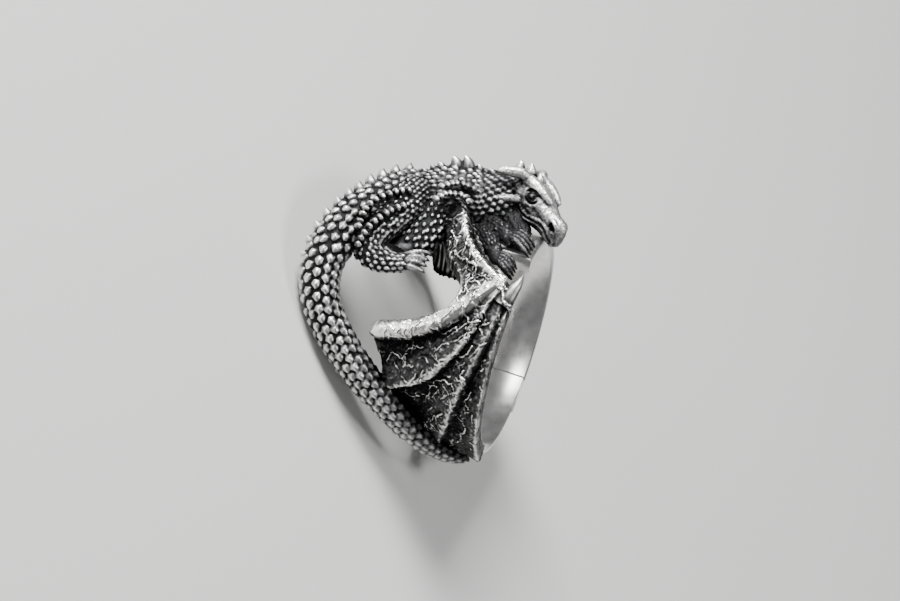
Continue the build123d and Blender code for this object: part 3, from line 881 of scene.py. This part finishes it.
def veined(skin, points_and_strengths, width, height):
    """Raises veins on a skin where their points lie, except on the finger hole's wall."""
    points, normals = points_of(skin)
    tree = KDTree(len(points_and_strengths))
    for n, (left, up, strength) in enumerate(points_and_strengths):
        tree.insert((left, up, 0), n)
    tree.balance()
    _, spots = unrolled(points)
    clear = beyond_wall(points, 0.25, 0.3)
    rise = np.zeros(len(points))
    for n in np.flatnonzero(clear > 0):
        _, vein, away = tree.find((*spots[n], 0))
        strength = points_and_strengths[vein][2]
        rise[n] = height * strength * exp(-(away / (width * (0.6 + 0.4 * strength))) ** 2)
    move_points(skin, points + normals * (rise * clear)[:, None])


bm = bmesh.new()
add_web(bm, wing_outline, folded, across=110, down=230)
add_limb(bm, limb_places(thumb_rows, claw_l, 5), sides=14)
add_limb(bm, limb_places(leading_rows, finger_d, 5), sides=20)
skin = cast(bm, 0.075, rounds=6)
points, _ = points_of(skin)
turns, spots = unrolled(points)
away, _ = beside(leading_crest, spots)
on_claw = np.clip((points[:, 0] + 0.9) / 0.5, 0, 1) * (turns > 19)
calm = np.maximum(0.8 * np.exp(-(away / 0.7) ** 2), 0.9 * on_claw)
crumpled(skin, ((1.3, 0.12), (0.42, 0.06), (0.2, 0.03)), calm)
rng = np.random.default_rng(11)
near_veins = []
for turn, along, heading, length in wing_veins:
    near_veins += crooked(flattened(turn, along), radians(heading), length, branch=1.1)
for _ in range(wrinkle_count):
    foot = flattened(rng.uniform(-85, 60), rng.uniform(0.02, 0.55))
    heading = radians(rng.uniform(-110, 0))
    near_veins += crooked(foot, heading, rng.uniform(0.7, 2.0), branch=0.7, strength=0.46)
veined(skin, near_veins, width=0.09, height=0.20)
points, _ = points_of(skin)
turns, _ = unrolled(points)
points[(points[:, 0] > 0) & (turns < 14), 0] = 0
move_points(skin, points)
open_hole(skin)
weathered(skin, span=0.15, level=0.47)
points, _ = points_of(skin)
_, spots = unrolled(points)
change = np.zeros(len(points))
for crest, _, _, ridge_w, worn in wing_folds:
    away, _ = beside(crest, spots)
    change += worn * np.exp(-((away - 0.15) / ridge_w) ** 2)
reworn_and_shaded(skin, change * beyond_wall(points, 1.4, 0.6))
wing_silver = oxidised_silver_with_painted_shade("oxidised silver wing skin", dark=0.007, middle=0.065, bright=0.90,
                              worn_from=0.50, worn_to=0.90, patchy=0.20)
placed(skin, "near_wing", wing_silver)

# Far wing. Folded down against the far flank, of the same skin on three thin fingers, with ribs pressed in
# between; its lower corner shows through the loop.
far_wing_rows = (  # turn, left edge, right edge, height in millimetres
    (92, 0.56, 0.3, 2.0), (104, 0.585, 0.31, 1.88), (118, 0.6, 0.32, 1.68), (132, 0.598, 0.33, 1.48),
    (144, 0.585, 0.34, 1.3), (150, 0.56, 0.344, 1.18),
)
far_fingers = (
    ((96, 0.48, 0.54, 1.3, 1.2), (115, 0.4, 0.58, 1.0, 1.0), (135, 0.31, 0.58, 0.8, 0.8),
     (147, 0.24, 0.555, 0.6, 0.6)),
    ((98, 0.46, 0.48, 1.1, 1.1), (118, 0.36, 0.5, 0.8, 0.8), (136, 0.28, 0.505, 0.65, 0.65),
     (149, 0.22, 0.5, 0.5, 0.5)),
    ((100, 0.44, 0.42, 1.0, 1.0), (120, 0.34, 0.43, 0.75, 0.75), (138, 0.26, 0.43, 0.6, 0.6),
     (149, 0.2, 0.42, 0.5, 0.5)),
)
fold_depth = 0.42
fold_step = 0.036  # along, from one fold to the next
rib_step = 0.026


def ribbed(turns, along, low):
    """The heights of the far wing: narrow folds between its fingers."""
    return low - fold_depth * np.sin(pi * (along - 0.30) / fold_step) ** 2


bm = bmesh.new()
add_web(bm, far_wing_rows, ribbed, across=100, down=60)
for rows in far_fingers:
    add_limb(bm, limb_places(rows, finger_d, 5), sides=14)
skin = cast(bm, casting_grain, rounds=2)
far_veins = []
for turn in range(96, 148, 7):
    for along in (0.36, 0.44, 0.52, 0.58):
        far_veins += crooked(flattened(turn, along), radians(rng.uniform(60, 120)), 2.6, branch=0.5)
veined(skin, far_veins, width=0.10, height=0.12)
open_hole(skin)
for along in np.arange(0.36, 0.60, rib_step):
    rib = [around(turn, 0.0, along + 0.005 * sin(turn / 6 + 90 * along)) for turn in range(100, 151, 10)]
    pressed(skin, rib, width=0.11, depth=0.16)
weathered(skin, span=0.15, level=0.40)
placed(skin, "far_wing", wing_silver)

# Plain band. A strip of silver bent round the back of the finger and polished, soldered under the front paws
# and to the foot of the wing. It is cut low at the back so that it can be bent open or closed: the upper end
# is rebated inside by half its wall, and the thin lower end slips under it.
band_t = 1.7
tongue_t = 0.85
band_edge_r = 0.45
tongue_edge_r = 0.2
band_start = 50
band_end = 272
band_cut = 213
lap_l = 3.0
lap_gap = 0.04
lap_turn = lap_l / bore_r * 180 / pi
gap_turn = lap_gap / bore_r * 180 / pi
sharp_turn = 0.8  # of an edge between two faces, in radians


def strip(start, end, low, high, edge_r, left=-band_w, right=0.0):
    """A bent strip round the finger, between two turns, two heights and two places along the finger: its
    cross-section, spun, with its outer edges rounded."""
    bm = bmesh.new()
    for vert in bmesh.ops.create_grid(bm, x_segments=1, y_segments=1, size=0.5)["verts"]:
        place = right - (0.5 - vert.co.x) * (right - left)
        radius = bore_r + low + (vert.co.y + 0.5) * (high - low)
        vert.co = Matrix.Rotation(radians(90 - start), 3, "X") @ Vector((place, 0, radius))
    bmesh.ops.spin(bm, geom=bm.verts[:] + bm.edges[:] + bm.faces[:], cent=(0, 0, 0), axis=(-1, 0, 0),
                   angle=radians(end - start), steps=max(8, int((end - start) * 1.2)), use_merge=False)
    bmesh.ops.remove_doubles(bm, verts=bm.verts, dist=1e-5)
    bmesh.ops.recalc_face_normals(bm, faces=bm.faces)
    if edge_r:
        sharp = [edge for edge in bm.edges if edge.calc_face_angle(0) > sharp_turn
                 and min(vert.co.yz.length for vert in edge.verts) > bore_r + (low + high) / 2]
        bmesh.ops.bevel(bm, geom=sharp, offset=edge_r, segments=4, profile=0.5, affect="EDGES", material=-1)
    return mesh_of(bm, "strip")


outer_strip = strip(band_start, band_cut, 0.0, band_t, band_edge_r)
rebate = added("rebate", strip(band_cut - lap_turn, band_cut + lap_turn, -1.0, tongue_t + lap_gap, 0,
                               left=-2 * band_w, right=band_w))
skin = modified(outer_strip, "BOOLEAN", {"operation": "DIFFERENCE", "object": rebate, "solver": "EXACT"})
bpy.data.objects.remove(rebate)
polished_silver, tree, shader = new_material("polished silver band")
spot = add_node(tree, "TexCoord", "Object", {})
strokes = add_node(tree, "TexNoise", "Fac", {"Vector": spot, "Scale": 900, "Detail": 5})
tint = add_ramp(tree, strokes, (0.35, (0.78, 0.77, 0.75)), (0.65, (0.94, 0.93, 0.91)))
rub = add_node(tree, "MapRange", "Result", {"Value": strokes, "To Min": 0.20, "To Max": 0.42})
wire(shader, {"Metallic": 1.0, "Base Color": tint, "Roughness": rub})
placed(skin, "band", polished_silver)
tongue = strip(band_cut - lap_turn + gap_turn, band_end, 0.0, tongue_t, tongue_edge_r)
placed(tongue, "band_tongue", polished_silver)

# Painted shade. On top of the oxide in the fine recesses, each piece is painted darker where shade falls:
# under the neck, between the legs and behind the wing's folds. Each cast piece records on its points how much
# stands close in front of them.
shade_reach = 0.0045
shade_ray_lift = 0.00008
way_count = 16
points_a_sample = 12
golden_turn = pi * (3 - 5 ** 0.5)
ways = []
for n in range(way_count):
    height = (1 - (n + 0.5) / way_count) ** 0.5
    level = (1 - height * height) ** 0.5
    ways.append(Vector((cos(n * golden_turn) * level, sin(n * golden_turn) * level, height)))
castings = [piece for piece in bpy.data.objects
            if piece.type == "MESH" and piece.data.attributes.get("relief")]
everything = bmesh.new()
for piece in castings + [bpy.data.objects["band"], bpy.data.objects["band_tongue"]]:
    everything.from_mesh(piece.data)
obstacles = BVHTree.FromBMesh(everything)
everything.free()
for piece in castings:
    points, normals = points_of(piece.data)
    samples = rng.choice(len(points), len(points) // points_a_sample, replace=False)
    near_samples = KDTree(len(samples))
    hidden = []
    for n, k in enumerate(samples):
        spot, normal = Vector(points[k]), Vector(normals[k])
        turned = normal.to_track_quat("Z", "Y")
        start = spot + normal * shade_ray_lift
        hits = sum(1 for way in ways if obstacles.ray_cast(start, turned @ way, shade_reach)[0])
        hidden.append(hits / way_count)
        near_samples.insert(spot, n)
    near_samples.balance()
    painted_shade = np.array([hidden[near_samples.find(point)[1]] for point in points])
    record(piece.data, "painted_shade", evened(piece.data, painted_shade[:, None], 12)[:, 0])

# Studio. A plain pale floor, soft light from the dragon's back side and a weak one from the front, and the
# camera at the photograph's angle to the ring, which lies on its left side as it does by itself.
floor_bm = bmesh.new()
bmesh.ops.create_grid(floor_bm, x_segments=1, y_segments=1, size=3.0)
floor = added("floor", mesh_of(floor_bm, "floor"))
paper, _, shader = new_material("pale paper")
wire(shader, {"Base Color": (0.62, 0.62, 0.61, 1), "Roughness": 0.9})
floor.data.materials.append(paper)

picture_right = Vector((0.938, 0.172, 0.3007)).normalized()
towards_viewer = Vector((0.1805, -0.9836, 0.0)).normalized()
picture_up = towards_viewer.cross(picture_right).normalized()
view_centre = picture_right * -5.95 + picture_up * 4.46
view_distance = 450.0
view_width = 81.1


def studio_place(centre, right, up, towards):
    """A matrix in metres for a camera or a lamp that looks along -towards, from directions in the ring."""
    return Matrix.Translation(ring_place @ centre) @ ring_turn @ laid((0, 0, 0), right, up, towards)


camera = added("camera", bpy.data.cameras.new("camera"))
camera.matrix_world = studio_place(view_centre + towards_viewer * view_distance, picture_right, picture_up,
                                   towards_viewer)
camera.data.sensor_width = 36.0
camera.data.lens = camera.data.sensor_width * view_distance / view_width
camera.data.clip_start = 0.01
bpy.context.scene.camera = camera

lamps = (  # picture right, up and towards the viewer, distance in millimetres, size in metres, watts
    (0.1, 0.9, 0.42, 420, 0.16, 4.8), (0.85, 0.1, 0.4, 420, 0.12, 0.9),
    (-0.45, 0.45, 0.85, 450, 0.14, 0.7),
)
for n, (right, up, towards, distance, size, watts) in enumerate(lamps):
    lamp = added("lamp_%d" % (n + 1), bpy.data.lights.new("lamp", "AREA"))
    way = (picture_right * right + picture_up * up + towards_viewer * towards).normalized()
    across = way.orthogonal().normalized()
    lamp.matrix_world = studio_place(way * distance, across, way.cross(across), way)
    lamp.data.size = size
    lamp.data.energy = watts
world = bpy.data.worlds.new("studio")
bpy.context.scene.world = world
world.use_nodes = True
wire(world.node_tree.nodes["Background"], {"Color": (0.80, 0.81, 0.83, 1), "Strength": 0.22})
